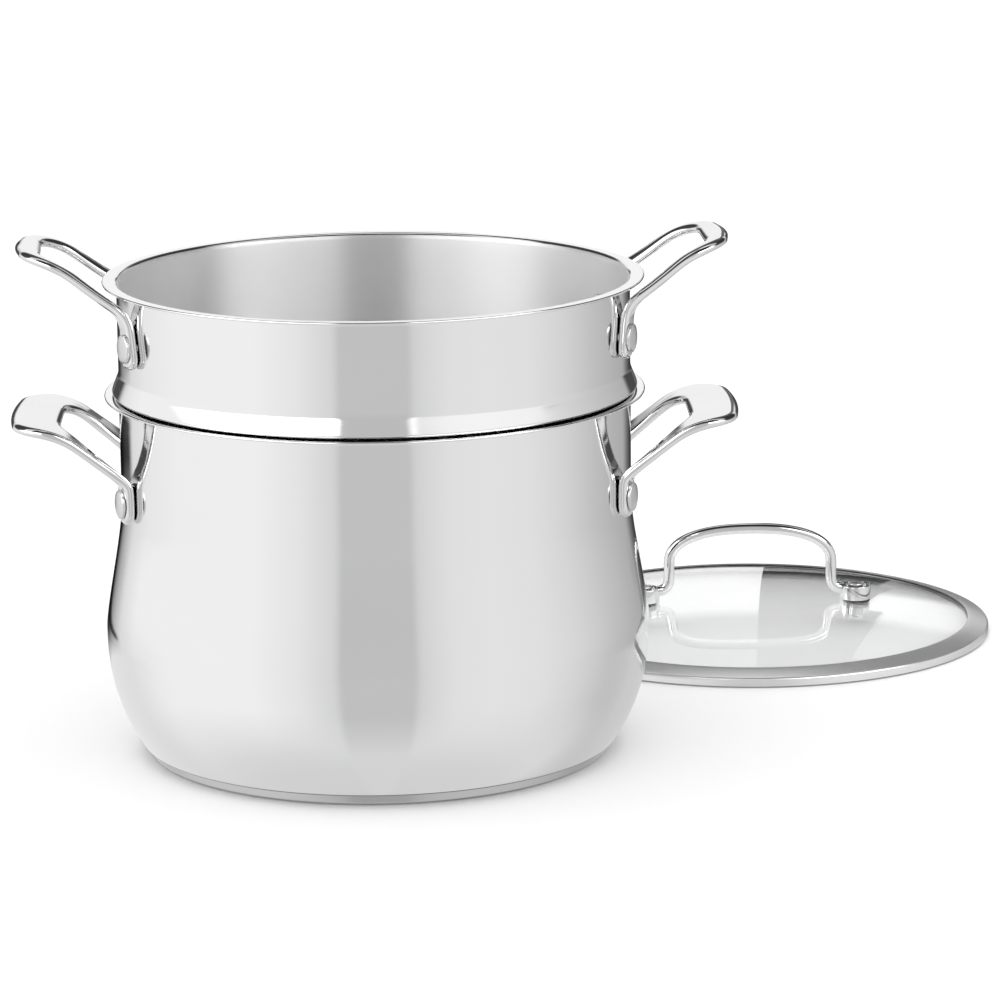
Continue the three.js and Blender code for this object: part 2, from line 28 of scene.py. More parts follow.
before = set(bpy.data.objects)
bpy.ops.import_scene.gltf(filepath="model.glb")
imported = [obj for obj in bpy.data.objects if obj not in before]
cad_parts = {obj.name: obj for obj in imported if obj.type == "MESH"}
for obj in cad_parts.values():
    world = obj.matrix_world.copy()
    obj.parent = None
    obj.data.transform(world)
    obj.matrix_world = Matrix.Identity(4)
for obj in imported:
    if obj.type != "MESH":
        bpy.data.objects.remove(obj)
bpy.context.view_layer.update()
bpy.ops.object.select_all(action="DESELECT")
mm = 0.001
general = {
    "sheet": 1.0, "gap": 0.3, "lipBend": 1.8, "lipSteps": 8, "insertTurn": 2.4, "roundSteps": 160,
    "merge": 0.01,
}
lidPlace = (179.22, 196.96, 0.0)


# outline helpers, in [radius, height] points

def shares(steps):
    return [i / steps for i in range(steps + 1)]


def arcPoints(centre, radius, start, end, steps):
    points = []
    for t in shares(steps):
        angle = math.radians(start + (end - start) * t)
        points.append((centre[0] + radius * math.cos(angle), centre[1] + radius * math.sin(angle)))
    return points


def curvePoints(a, b, c, d, steps):
    points = []
    for t in shares(steps):
        s = 1 - t
        pulls = (s ** 3, 3 * s * s * t, 3 * s * t * t, t ** 3)
        points.append(tuple(sum(p * q for p, q in zip(pulls, axis)) for axis in zip(a, b, c, d)))
    return points


def straightPoints(a, b, steps):
    return [(a[0] + (b[0] - a[0]) * t, a[1] + (b[1] - a[1]) * t) for t in shares(steps)]


# a corner is replaced by a short curve that starts and ends at the given reach from it
def softCorner(before, corner, after, reach, steps=4):
    toward = Vector(before) - Vector(corner)
    away = Vector(after) - Vector(corner)
    start = Vector(corner) + toward.normalized() * reach
    end = Vector(corner) + away.normalized() * reach
    points = []
    for t in shares(steps):
        point = start * (1 - t) ** 2 + Vector(corner) * 2 * t * (1 - t) + end * t ** 2
        points.append((point.x, point.y))
    return points


# the same path, moved to the left of its direction
def besidePath(points, distance):
    moved = []
    for i, point in enumerate(points):
        here = Vector(point)
        before = Vector(points[max(i - 1, 0)])
        after = Vector(points[min(i + 1, len(points) - 1)])
        come = (here - before).normalized()
        go = (after - here).normalized()
        along = (come + go).normalized()
        straight = come if come.length > 0 else go
        reach = distance / max(along.dot(straight), 0.5)
        moved.append((here.x - along.y * reach, here.y + along.x * reach))
    return moved


# flat lip, turned out from an upright wall round a tight bend
def flatLip(wall, start, reach):
    bend = general["lipBend"]
    points = arcPoints((wall + bend, start), bend, 180, 90, general["lipSteps"])
    end = (wall + reach - general["sheet"] / 2, start + bend)
    return points + straightPoints(points[-1], end, 3)[1:]


# sheet steel from the axis to the rounded edge of the lip, and back along the inside
def sheetOutline(outside):
    half = general["sheet"] / 2
    inside = besidePath(outside, 2 * half)
    inside[0] = (0.0, inside[0][1])
    end = outside[-1]
    edge = arcPoints((end[0], end[1] + half), half, -90, 90, general["lipSteps"])[1:-1]
    return outside + edge + inside[::-1]


# modelling helpers

def selectNone():
    bpy.ops.object.select_all(action="DESELECT")


def setMode(mode):
    bpy.ops.object.mode_set(mode=mode)


# the place, turn and scale of the selected piece go into its mesh
def keepPlace():
    bpy.ops.object.transform_apply(location=True, rotation=True, scale=True)


def onlySelect(piece):
    selectNone()
    piece.select_set(True)
    bpy.context.view_layer.objects.active = piece


def smoothPiece(piece, smoothAngle=30):
    onlySelect(piece)
    bpy.ops.object.shade_smooth_by_angle(angle=math.radians(smoothAngle))


def closeMesh(piece, smoothAngle):
    bpy.ops.mesh.select_all(action="SELECT")
    bpy.ops.mesh.remove_doubles(threshold=general["merge"] * mm)
    bpy.ops.mesh.normals_make_consistent(inside=False)
    setMode("OBJECT")
    smoothPiece(piece, smoothAngle)


# the outline is drawn point by point from one vertex, then spun about the upright axis
def turnedPiece(name, outline, steps, smoothAngle=30):
    selectNone()
    bpy.ops.mesh.primitive_plane_add(size=mm)
    piece = bpy.context.object
    piece.name = name
    setMode("EDIT")
    bpy.ops.mesh.merge(type="CENTER")
    bpy.ops.transform.translate(value=(outline[0][0] * mm, 0, outline[0][1] * mm))
    for here, there in zip(outline, outline[1:]):
        step = ((there[0] - here[0]) * mm, 0, (there[1] - here[1]) * mm)
        bpy.ops.mesh.extrude_vertices_move(TRANSFORM_OT_translate={"value": step})
    bpy.ops.mesh.select_all(action="SELECT")
    bpy.ops.mesh.spin(steps=steps, angle=2 * math.pi, center=(0, 0, 0), axis=(0, 0, 1))
    closeMesh(piece, smoothAngle)
    return piece


def useModifier(piece, kind, **settings):
    onlySelect(piece)
    modifier = piece.modifiers.new(kind.lower(), kind)
    for key, value in settings.items():
        setattr(modifier, key, value)
    bpy.ops.object.modifier_apply(modifier=modifier.name)


def addCylinder(sides, radius, length, place):
    selectNone()
    bpy.ops.mesh.primitive_cylinder_add(
        vertices=sides, radius=radius * mm, depth=length * mm, location=[each * mm for each in place])
    return bpy.context.object


def cutWith(piece, cutter, operation="DIFFERENCE"):
    useModifier(piece, "BOOLEAN", object=cutter, operation=operation, solver="EXACT")
    bpy.data.objects.remove(cutter)


def copyPiece(piece, name):
    onlySelect(piece)
    bpy.ops.object.duplicate(linked=False)
    twin = bpy.context.object
    twin.name = name
    return twin


# a modelled piece is turned about the upright axis and moved
def placePiece(piece, turn=0.0, place=(0, 0, 0)):
    onlySelect(piece)
    piece.rotation_euler = (0, 0, math.radians(turn))
    piece.location = Vector(place) * mm
    keepPlace()


def placeOnLid(piece):
    placePiece(piece, place=lidPlace)


# materials

def setSockets(node, values):
    for socket, value in values.items():
        node.inputs[socket].default_value = value


def addNode(nodes, kind, values=None, **settings):
    node = nodes.new(kind)
    for key, value in settings.items():
        setattr(node, key, value)
    setSockets(node, values or {})
    return node


# each wire is a node, its output, the next node and its input
def joinNodes(links, *wires):
    for source, output, target, socket in wires:
        links.new(source.outputs[output], target.inputs[socket])


def grey(level):
    return (level, level, level, 1)


def rampNode(nodes, *stops):
    node = addNode(nodes, "ShaderNodeValToRGB")
    elements = node.color_ramp.elements
    while len(elements) < len(stops):
        elements.new(0.5)
    for element, (position, colour) in zip(elements, stops):
        element.position = position
        element.color = colour
    return node


def noiseNode(nodes, scale, detail):
    return addNode(nodes, "ShaderNodeTexNoise", {"Scale": scale, "Detail": detail})


def newMaterial(name):
    material = bpy.data.materials.new(name)
    material.use_nodes = True
    nodes = material.node_tree.nodes
    return material, nodes, material.node_tree.links, nodes["Principled BSDF"]


polishing = {
    "grainDetail": 4.0, "patchDetail": 3.0, "noise": (0.3, 0.7), "bumpDepth": 0.0002, "quarterTurn": 0.25,
}


# steel with fine polishing lines round its upright axis where its grain is stretched
def steelMaterial(name, look):
    material, nodes, links, shader = newMaterial(name)
    low, high = polishing["noise"]
    smooth, rough = look["roughness"]
    coordinates = addNode(nodes, "ShaderNodeTexCoord")
    mapping = addNode(nodes, "ShaderNodeMapping", {"Scale": look.get("stretch", (1, 1, 1))})
    grain = noiseNode(nodes, look["grain"], polishing["grainDetail"])
    gloss = addNode(nodes, "ShaderNodeMapRange", {
        "From Min": low, "From Max": high, "To Min": smooth, "To Max": rough})
    patches = noiseNode(nodes, look["patches"], polishing["patchDetail"])
    tint = rampNode(nodes, (low, (*look["dark"], 1)), (high, (*look["light"], 1)))
    bump = addNode(nodes, "ShaderNodeBump", {"Strength": look["bump"], "Distance": polishing["bumpDepth"]})
    joinNodes(
        links, (coordinates, "Object", mapping, "Vector"), (mapping, "Vector", grain, "Vector"),
        (coordinates, "Object", patches, "Vector"), (grain, "Fac", gloss, "Value"),
        (gloss, "Result", shader, "Roughness"), (patches, "Fac", tint, "Fac"),
        (tint, "Color", shader, "Base Color"), (grain, "Fac", bump, "Height"),
        (bump, "Normal", shader, "Normal"))
    setSockets(shader, {"Metallic": look.get("metallic", 1.0)})
    if "anisotropy" in look:
        tangent = addNode(nodes, "ShaderNodeTangent", direction_type="RADIAL", axis="Z")
        joinNodes(links, (tangent, "Tangent", shader, "Tangent"))
        turn = polishing["quarterTurn"]
        setSockets(shader, {"Anisotropic": look["anisotropy"], "Anisotropic Rotation": turn})
    return material


polishedSteel = steelMaterial("polished_steel_outside", {
    "light": (0.865, 0.865, 0.868), "dark": (0.85, 0.85, 0.854), "roughness": (0.05, 0.09),
    "stretch": (2, 2, 60), "grain": 20.0, "patches": 9.0, "bump": 0.01,
})
brushedInside = steelMaterial("brushed_steel_inside", {
    "light": (0.89, 0.89, 0.89), "dark": (0.86, 0.86, 0.86), "roughness": (0.36, 0.42),
    "stretch": (4, 4, 140), "grain": 30.0, "patches": 14.0, "bump": 0.05, "anisotropy": 1.0,
    "metallic": 0.75,
})
castSteel = steelMaterial("polished_casting", {
    "light": (0.82, 0.82, 0.823), "dark": (0.79, 0.79, 0.794), "roughness": (0.03, 0.07),
    "grain": 160.0, "patches": 40.0, "bump": 0.015,
})
satinSteel = steelMaterial("satin_rivet_steel", {
    "light": (0.76, 0.76, 0.76), "dark": (0.71, 0.71, 0.715), "roughness": (0.26, 0.36),
    "grain": 900.0, "patches": 200.0, "bump": 0.05,
})
bandSteel = steelMaterial("satin_band_steel", {
    "light": (0.84, 0.84, 0.845), "dark": (0.82, 0.82, 0.825), "roughness": (0.22, 0.26),
    "stretch": (3, 3, 60), "grain": 40.0, "patches": 20.0, "bump": 0.004,
    "metallic": 0.75,
})
# the cap's steel is painted darker as shade, standing in for the shadowed table it mirrors near the foot
capShadeSteel = steelMaterial("base_steel_painted_shade", {
    "light": (0.56, 0.56, 0.565), "dark": (0.52, 0.52, 0.525), "roughness": (0.14, 0.2),
    "stretch": (2, 2, 60), "grain": 20.0, "patches": 9.0, "bump": 0.01,
})
# steel painted dark as shade: the seam, the contact shadow at the foot and the shade inside the lid band's
# roll
paintedShadeSteel = steelMaterial("painted_shade_steel", {
    "light": (0.3, 0.3, 0.305), "dark": (0.25, 0.25, 0.255), "roughness": (0.35, 0.45),
    "stretch": (3, 3, 60), "grain": 40.0, "patches": 20.0, "bump": 0.02,
})
sealedAluminium = steelMaterial("sealed_aluminium", {
    "light": (0.74, 0.75, 0.76), "dark": (0.68, 0.69, 0.70), "roughness": (0.45, 0.55),
    "grain": 300.0, "patches": 60.0, "bump": 0.08,
})


glassLook = {
    "colour": (0.94, 0.945, 0.945, 1), "ior": 1.5, "haze": 30.0, "hazeDetail": 3.0,
    "roughness": (0.0, 0.015),
}


def glassMaterial():
    material, nodes, links, shader = newMaterial("clear_lid_glass")
    clear, hazy = glassLook["roughness"]
    coordinates = addNode(nodes, "ShaderNodeTexCoord")
    haze = noiseNode(nodes, glassLook["haze"], glassLook["hazeDetail"])
    gloss = addNode(nodes, "ShaderNodeMapRange", {"To Min": clear, "To Max": hazy})
    joinNodes(
        links, (coordinates, "Object", haze, "Vector"), (haze, "Fac", gloss, "Value"),
        (gloss, "Result", shader, "Roughness"))
    setSockets(shader, {
        "Base Color": glassLook["colour"], "IOR": glassLook["ior"], "Transmission Weight": 1.0})
    return material


siliconeLook = {"grain": 1500.0, "grainDetail": 2.0, "bump": 0.2, "bumpDepth": 0.0001, "roughness": 0.6}


def siliconeMaterial(name, dark, light):
    material, nodes, links, shader = newMaterial(name)
    look = siliconeLook
    coordinates = addNode(nodes, "ShaderNodeTexCoord")
    grain = noiseNode(nodes, look["grain"], look["grainDetail"])
    shade = rampNode(nodes, (0.0, grey(dark)), (1.0, grey(light)))
    bump = addNode(nodes, "ShaderNodeBump", {"Strength": look["bump"], "Distance": look["bumpDepth"]})
    joinNodes(
        links, (coordinates, "Object", grain, "Vector"), (grain, "Fac", shade, "Fac"),
        (shade, "Color", shader, "Base Color"), (grain, "Fac", bump, "Height"),
        (bump, "Normal", shader, "Normal"))
    setSockets(shader, {"Roughness": look["roughness"]})
    return material


clearGlass = glassMaterial()
darkSilicone = siliconeMaterial("dark_silicone", 0.018, 0.034)
paleSilicone = siliconeMaterial("milky_silicone", 0.52, 0.6)
print("materials made")


def finishPiece(piece, body, slot, material, *nodes):
    piece.data.materials.clear()
    piece.data.materials.append(material)
    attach(piece, body)
    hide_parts(*nodes)


brushedFaces = {"inward": -0.1, "upward": 0.3, "outwardMost": 0.5}


def dressFaces(piece, material, faces):
    piece.data.materials.append(material)
    for face in faces:
        face.material_index = len(piece.data.materials) - 1


# faces that look towards the axis or up from the floor take the brushed inside
def brushInside(piece, lipHeight):
    faces = []
    for face in piece.data.polygons:
        outward = Vector((face.center.x, face.center.y, 0)).normalized()
        facing = face.normal.dot(outward)
        upward = face.normal.z > brushedFaces["upward"] and facing < brushedFaces["outwardMost"]
        if face.center.z < lipHeight * mm and (facing < brushedFaces["inward"] or upward):
            faces.append(face)
    dressFaces(piece, brushedInside, faces)


# low faces that look down at the table are painted dark as shade, which draws the seam and the line of the
# foot as painted shadow
def paintShadeBelow(piece, height, steepness):
    low = [face for face in piece.data.polygons if face.center.z < height * mm]
    dressFaces(piece, paintedShadeSteel, [face for face in low if face.normal.z < -steepness])


# pot shell, with belly, shoulder, neck and pouring lip

potSizes = {
    "floor": 4.6, "floorRadius": 101.0, "floorArm": 103.4, "heelFoot": (104.15, 4.68), "heel": (104.6, 5.4),
    "heelArm": (111.75, 16.85), "belly": (118.9, 56.0), "bellyBelow": 30.5, "bellyAbove": 66.0,
    "neckRadius": 111.1, "neck": 112.0, "neckArm": 98.0, "lipStart": 156.6, "lipReach": 6.2,
    "floorSteps": 4, "heelSteps": 5, "sideSteps": 22, "neckSteps": 6, "shadeSlope": 0.6,
}


def potOutside():
    size = potSizes
    belly = size["belly"]
    floorEnd = (size["floorRadius"], size["floor"])
    neckFoot = (size["neckRadius"], size["neck"])
    neckTop = (size["neckRadius"], size["lipStart"])
    flat = straightPoints((0.0, size["floor"]), floorEnd, size["floorSteps"])
    heel = curvePoints(
        floorEnd, (size["floorArm"], size["floor"]), size["heelFoot"], size["heel"], size["heelSteps"])
    side = curvePoints(
        size["heel"], size["heelArm"], (belly[0], size["bellyBelow"]), belly, size["sideSteps"])
    shoulder = curvePoints(
        belly, (belly[0], size["bellyAbove"]), (size["neckRadius"], size["neckArm"]), neckFoot,
        size["sideSteps"])
    neck = straightPoints(neckFoot, neckTop, size["neckSteps"])
    lip = flatLip(size["neckRadius"], size["lipStart"], size["lipReach"])
    return flat + heel[1:] + side[1:] + shoulder[1:] + neck[1:] + lip[1:]


potShell = turnedPiece("pot_body", sheetOutline(potOutside()), general["roundSteps"])
finishPiece(potShell, "pot", "polished_steel", polishedSteel, "pot_shell")
brushInside(potShell, potSizes["lipStart"] + general["lipBend"])
paintShadeBelow(potShell, potSizes["heel"][1], potSizes["shadeSlope"])
print("pot body turned")


# base: cap round the sealed aluminium disc

capSizes = {
    "radius": 101.0, "height": 4.3, "edge": 1.4, "edgeSteps": 6, "sheet": 0.8, "flat": 60.0, "chamfer": 0.2,
    "innerCorner": (1.2, 1.8), "shadeSlope": 0.4,
}


def makeBaseCap():
    size = capSizes
    inner = size["radius"] - size["sheet"]
    foot = size["radius"] - size["edge"]
    cornerIn, cornerUp = size["innerCorner"]
    outline = [(0.0, 0.0), (size["flat"], 0.0)]
    outline += arcPoints((foot, size["edge"]), size["edge"], -90, 0, size["edgeSteps"])
    outline += [(size["radius"], size["height"] - size["chamfer"])]
    outline += [(size["radius"] - size["chamfer"], size["height"]), (inner, size["height"])]
    outline += [(inner, cornerUp), (inner - cornerIn, size["sheet"]), (0.0, size["sheet"])]
    return turnedPiece("base_cap_cover", outline, general["roundSteps"])


baseCap = makeBaseCap()
finishPiece(baseCap, "pot", "polished_steel", capShadeSteel, "base_cap")
paintShadeBelow(baseCap, capSizes["edge"], capSizes["shadeSlope"])
print("base cap turned")


# insert shell: collar, seat band, sleeve and basket in one sheet

insertSizes = {
    "floor": 28.0, "corner": 12.0, "basketRadius": 103.4, "basketTop": (105.4, 146.0),
    "sleeveFoot": (109.3, 150.0), "sleeveTop": (109.3, 156.6), "seatBend": 3.2, "seatFrom": 150,
    "seatTo": 95, "seatEdge": (114.2, 160.7), "seatSoft": 1.0, "crease": (111.0, 168.7), "creaseSoft": 1.8,
    "lipStart": 206.5, "lipReach": 6.2, "floorSteps": 6, "cornerSteps": 8, "basketSteps": 10, "bendSteps": 6,
}
holeSizes = {
    "radius": 3.0, "sides": 14, "length": 10.0, "rows": 8, "firstRow": 54.0, "rowStep": 10.0,
    "perRow": 40, "outFromWall": 0.8, "floorRings": 6, "perRing": 6, "ringStep": 13.0,
}


def insertOutside():
    size = insertSizes
    collar = size["crease"][0]
    potBend = (potSizes["neckRadius"] + general["lipBend"], potSizes["lipStart"])
    corner = (size["basketRadius"] - size["corner"], size["floor"] + size["corner"])
    seat = arcPoints(potBend, size["seatBend"], size["seatFrom"], size["seatTo"], size["bendSteps"])
    lowerEdge = softCorner(seat[-1], size["seatEdge"], size["crease"], size["seatSoft"], 5)
    collarTop = (collar, size["lipStart"])
    crease = softCorner(size["seatEdge"], size["crease"], collarTop, size["creaseSoft"], size["bendSteps"])
    path = straightPoints((0.0, size["floor"]), (corner[0], size["floor"]), size["floorSteps"])
    path += arcPoints(corner, size["corner"], -90, 0, size["cornerSteps"])[1:]
    path += straightPoints((size["basketRadius"], corner[1]), size["basketTop"], size["basketSteps"])[1:]
    path += [size["sleeveFoot"], size["sleeveTop"]] + seat + lowerEdge + crease
    path += straightPoints(crease[-1], collarTop, size["bendSteps"])[1:]
    path += flatLip(collar, size["lipStart"], size["lipReach"])[1:]
    return path


# one hole is made and repeated round each row and each ring of the floor
def makeHoleCutter():
    size = holeSizes
    selectNone()
    bpy.ops.mesh.primitive_plane_add(size=mm)
    cutter = bpy.context.object
    setMode("EDIT")
    bpy.ops.mesh.delete(type="VERT")
    spots = []
    for row in range(size["rows"]):
        height = size["firstRow"] + row * size["rowStep"]
        turn = 180 / size["perRow"] * (1 + row % 2)
        middle = insertSizes["basketRadius"] + size["outFromWall"]
        spots.append((middle, height, size["perRow"], turn, math.pi / 2))
    spots.append((0.0, insertSizes["floor"], 1, 0.0, 0.0))
    for ring in range(1, size["floorRings"] + 1):
        spots.append((ring * size["ringStep"], insertSizes["floor"], size["perRing"] * ring, 0.0, 0.0))
    for radius, height, count, turn, tilt in spots:
        bpy.ops.mesh.select_all(action="DESELECT")
        angle = math.radians(turn)
        bpy.ops.mesh.primitive_cylinder_add(
            vertices=size["sides"], radius=size["radius"] * mm, depth=size["length"] * mm,
            location=(radius * mm * math.cos(angle), radius * mm * math.sin(angle), height * mm),
            rotation=(0, tilt, angle))
        if count > 1:
            bpy.ops.mesh.spin(
                steps=count - 1, angle=2 * math.pi * (count - 1) / count, dupli=True,
                center=(0, 0, 0), axis=(0, 0, 1))
    setMode("OBJECT")
    return cutter


insertShell = turnedPiece("insert_body", sheetOutline(insertOutside()), general["roundSteps"])
cutWith(insertShell, makeHoleCutter())
smoothPiece(insertShell)
placePiece(insertShell, general["insertTurn"])
finishPiece(insertShell, "insert", "polished_steel", polishedSteel, "insert_shell")
brushInside(insertShell, insertSizes["lipStart"] + general["lipBend"])
print("insert turned and pierced")


# loop handles: a plate of two legs and a grip with round edges, bent up and out from the wall

handleSizes = {
    "pot": {
        "wall": 111.1, "legWidth": 13.0, "rivetAngle": 19.2, "rivetHeight": 117.5, "footBelow": 8.9,
        "bendAbove": 8.6, "gripReach": 24.3, "gripRise": 31.4, "tipReach": 46.6, "tipRise": 32.7,
        "gripDepth": 22.0, "gripHalf": 42.0, "gripCorner": 16.0, "gripBow": 1.6, "holeHalf": 31.0,
        "holeCorner": 17.0, "footBend": 2.3, "gripBend": 11.0,
    },
    "insert": {
        "wall": 111.0, "legWidth": 11.0, "rivetAngle": 21.5, "rivetHeight": 186.8, "footBelow": 9.3,
        "bendAbove": 13.4, "gripReach": 27.0, "gripRise": 36.2, "tipReach": 42.8, "tipRise": 37.8,
        "gripDepth": 11.2, "gripHalf": 35.2, "gripCorner": 19.0, "gripBow": 1.6, "holeHalf": 28.4,
        "holeCorner": 15.0, "footBend": 6.0, "gripBend": 14.0,
    },
}
plateSizes = {
    "thickness": 4.2, "footEdge": 1.8, "gripEdge": 3.8, "easeLength": 8.0, "widestEdge": 0.48, "probe": 0.8,
    "edgeSteps": 5, "flatSteps": 6, "lineSteps": 12, "footBendSteps": 16, "gripBendSteps": 20,
    "footTurns": (10, 20, 34, 48, 62, 76, 90), "legSteps": 18, "cornerSteps": 9, "middleSteps": 6,
    "smoothAngle": 50,
}


# side view of the plate's middle: up the wall, out along the leg, and along the grip
def handleSideLine(size):
    middle = size["wall"] + general["gap"] + plateSizes["thickness"] / 2
    footX = middle * math.cos(math.radians(size["rivetAngle"]))
    foot = Vector((footX, size["rivetHeight"] - size["footBelow"]))
    bend = Vector((footX, size["rivetHeight"] + size["bendAbove"]))
    grip = Vector((size["wall"] + size["gripReach"], size["rivetHeight"] + size["gripRise"]))
    tip = Vector((size["wall"] + size["tipReach"], size["rivetHeight"] + size["tipRise"]))
    legFoot = bend + (foot - bend).normalized() * size["footBend"]
    legTop = grip + (bend - grip).normalized() * size["gripBend"]
    steps = plateSizes["lineSteps"]
    line = straightPoints(foot, legFoot, steps)
    line += softCorner(foot, bend, grip, size["footBend"], plateSizes["footBendSteps"])[1:]
    line += straightPoints(line[-1], legTop, steps)[1:]
    line += softCorner(bend, grip, tip, size["gripBend"], plateSizes["gripBendSteps"])[1:]
    line += straightPoints(line[-1], tip, steps)[1:]
    return [Vector(point) for point in line]


def lineLength(line):
    return sum((there - here).length for here, there in zip(line, line[1:]))


def pointOnLine(line, distance):
    left = distance
    for here, there in zip(line, line[1:]):
        part = (there - here).length
        if left <= part:
            return here.lerp(there, max(left, 0) / part)
        left -= part
    return line[-1] + (line[-1] - line[-2]).normalized() * left


# half of the flat plate as pairs of inner and outer edge points, each (distance along, offset)
def plateStations(size, length):
    half = size["legWidth"] / 2
    middle = size["wall"] + plateSizes["thickness"] / 2
    foot = middle * math.sin(math.radians(size["rivetAngle"]))
    holeEnd = length - size["gripDepth"]
    innerTop = holeEnd - size["holeCorner"]
    outerTop = length - size["gripBow"] - size["gripCorner"]
    stations = []
    for turn in plateSizes["footTurns"]:
        along = half * (1 - math.cos(math.radians(turn)))
        width = half * math.sin(math.radians(turn))
        stations.append(((along, foot - width), (along, foot + width)))
    for t in shares(plateSizes["legSteps"])[1:]:
        inner = (half + (innerTop - half) * t, (foot - half) + (size["holeHalf"] - foot + half) * t)
        outer = (half + (outerTop - half) * t, (foot + half) + (size["gripHalf"] - foot - half) * t)
        stations.append((inner, outer))
    for t in shares(plateSizes["cornerSteps"])[1:]:
        angle = math.radians(90 * t)
        up = math.sin(angle)
        inward = 1 - math.cos(angle)
        inner = (innerTop + size["holeCorner"] * up, size["holeHalf"] - size["holeCorner"] * inward)
        outer = (outerTop + size["gripCorner"] * up, size["gripHalf"] - size["gripCorner"] * inward)
        stations.append((inner, outer))
    for t in shares(plateSizes["middleSteps"])[-2::-1]:
        inner = (holeEnd, (size["holeHalf"] - size["holeCorner"]) * t)
        outer = (length - size["gripBow"] * t * t, (size["gripHalf"] - size["gripCorner"]) * t)
        stations.append((inner, outer))
    return stations


# section across the plate, as (share from inner to outer edge, height over the middle)
# its edges are round, and rounder along the leg and grip than at the foot
def plateSection(width, along, footLength):
    high = plateSizes["thickness"] / 2
    ease = min(max((along - footLength) / plateSizes["easeLength"], 0), 1)
    edge = plateSizes["footEdge"] + (plateSizes["gripEdge"] - plateSizes["footEdge"]) * ease
    edge = min(edge, plateSizes["widestEdge"] * width)
    if along < edge:
        high = high * math.sqrt(1 - ((edge - along) / edge) ** 2)
    flat = width / 2 - edge
    ring = []
    for start, sideways in ((0, 1), (90, -1), (180, -1), (270, 1)):
        for t in shares(plateSizes["edgeSteps"]):
            angle = math.radians(start + 90 * t)
            ring.append((sideways * flat + edge * math.cos(angle), high * math.sin(angle)))
        if start in (0, 180):
            across, height = ring[-1]
            for t in shares(plateSizes["flatSteps"])[1:-1]:
                ring.append((across - 2 * across * t, height))
    ring.append(ring[0])
    return [(across / width + 0.5, height) for across, height in ring]


def makeHandle(name, size):
    line = handleSideLine(size)
    length = lineLength(line)
    middle = size["wall"] + general["gap"] + plateSizes["thickness"] / 2
    rivetOffset = middle * math.sin(math.radians(size["rivetAngle"]))
    footLength = size["footBelow"] + size["bendAbove"]
    oneHalf = plateStations(size, length)
    stations = [(pair, 1) for pair in oneHalf] + [(pair, -1) for pair in oneHalf[-2::-1]]

    def middlePoint(along, offset):
        point = pointOnLine(line, along)
        ease = min(max((along - footLength) / (length - size["gripDepth"] - footLength), 0), 1)
        follow = 1 - ease * ease * (3 - 2 * ease)
        sag = math.sqrt(middle ** 2 - rivetOffset ** 2) - math.sqrt(middle ** 2 - offset ** 2)
        return Vector((point.x - follow * sag, offset, point.y))

    around = 4 * plateSizes["edgeSteps"] + 2 * plateSizes["flatSteps"] + 2
    probe = plateSizes["probe"]
    selectNone()
    bpy.ops.mesh.primitive_grid_add(x_subdivisions=around, y_subdivisions=len(stations) - 1, size=2)
    plate = bpy.context.object
    plate.name = name
    setMode("EDIT")
    grid = bmesh.from_edit_mesh(plate.data)
    for corner in grid.verts:
        (inner, outer), side = stations[round((corner.co.y + 1) / 2 * (len(stations) - 1))]
        width = math.dist(inner, outer)
        share, height = plateSection(width, inner[0], footLength)[round((corner.co.x + 1) / 2 * around)]
        along = inner[0] + (outer[0] - inner[0]) * share
        offset = inner[1] + (outer[1] - inner[1]) * share
        lengthwise = middlePoint(along + probe, offset) - middlePoint(along - probe, offset)
        sideways = middlePoint(along, offset + probe) - middlePoint(along, offset - probe)
        point = middlePoint(along, offset) + lengthwise.cross(sideways).normalized() * height
        corner.co = Vector((point.x, side * point.y, point.z)) * mm
    bmesh.update_edit_mesh(plate.data)
    bpy.ops.mesh.select_all(action="SELECT")
    bpy.ops.mesh.remove_doubles(threshold=general["merge"] * mm)
    bpy.ops.mesh.fill_holes(sides=0)
    bpy.ops.mesh.normals_make_consistent(inside=False)
    setMode("OBJECT")
    useModifier(plate, "SUBSURF", levels=1, render_levels=1)
    onlySelect(plate)
    setMode("EDIT")
    closeMesh(plate, plateSizes["smoothAngle"])
    return plate


rivetSizes = {
    "head": 6.2, "edge": 1.3, "dome": 0.9, "shank": 2.5, "tail": 4.8, "tailHeight": 1.6, "tailGap": 0.7,
    "sink": 0.25, "rimSoft": 0.5, "tailSoft": 0.8, "chamfer": 0.3, "domeSteps": 8, "roundSteps": 40,
}


# rivet, turned upright and laid down along the radius
def makeRivet(name, wall):
    size = rivetSizes
    seat = wall + general["gap"] + plateSizes["thickness"] + general["gap"] - size["sink"]
    tail = wall - general["sheet"] - size["tailGap"]
    tailEnd = tail - size["tailHeight"]
    shoulder = seat + size["edge"]
    domeRadius = (size["head"] ** 2 + size["dome"] ** 2) / (2 * size["dome"])
    domeAngle = math.degrees(math.asin(size["head"] / domeRadius))
    domeMiddle = (0.0, shoulder + size["dome"] - domeRadius)
    dome = arcPoints(domeMiddle, domeRadius, 90 - domeAngle, 90, size["domeSteps"])
    rim = softCorner((size["head"], seat), dome[0], dome[2], size["rimSoft"], 3)
    tailRim = softCorner((0.0, tailEnd), (size["tail"], tailEnd), (size["tail"], tail), size["tailSoft"])
    outline = [(0.0, tailEnd)] + tailRim + [(size["tail"], tail), (size["shank"], tail)]
    outline += [(size["shank"], seat), (size["head"] - size["chamfer"], seat)]
    outline += [(size["head"], seat + size["chamfer"])]
    outline += rim + dome[2:-1] + [(0.0, shoulder + size["dome"])]
    rivet = turnedPiece(name, outline, size["roundSteps"])
    rivet.rotation_euler = (0, math.pi / 2, 0)
    keepPlace()
    return rivet


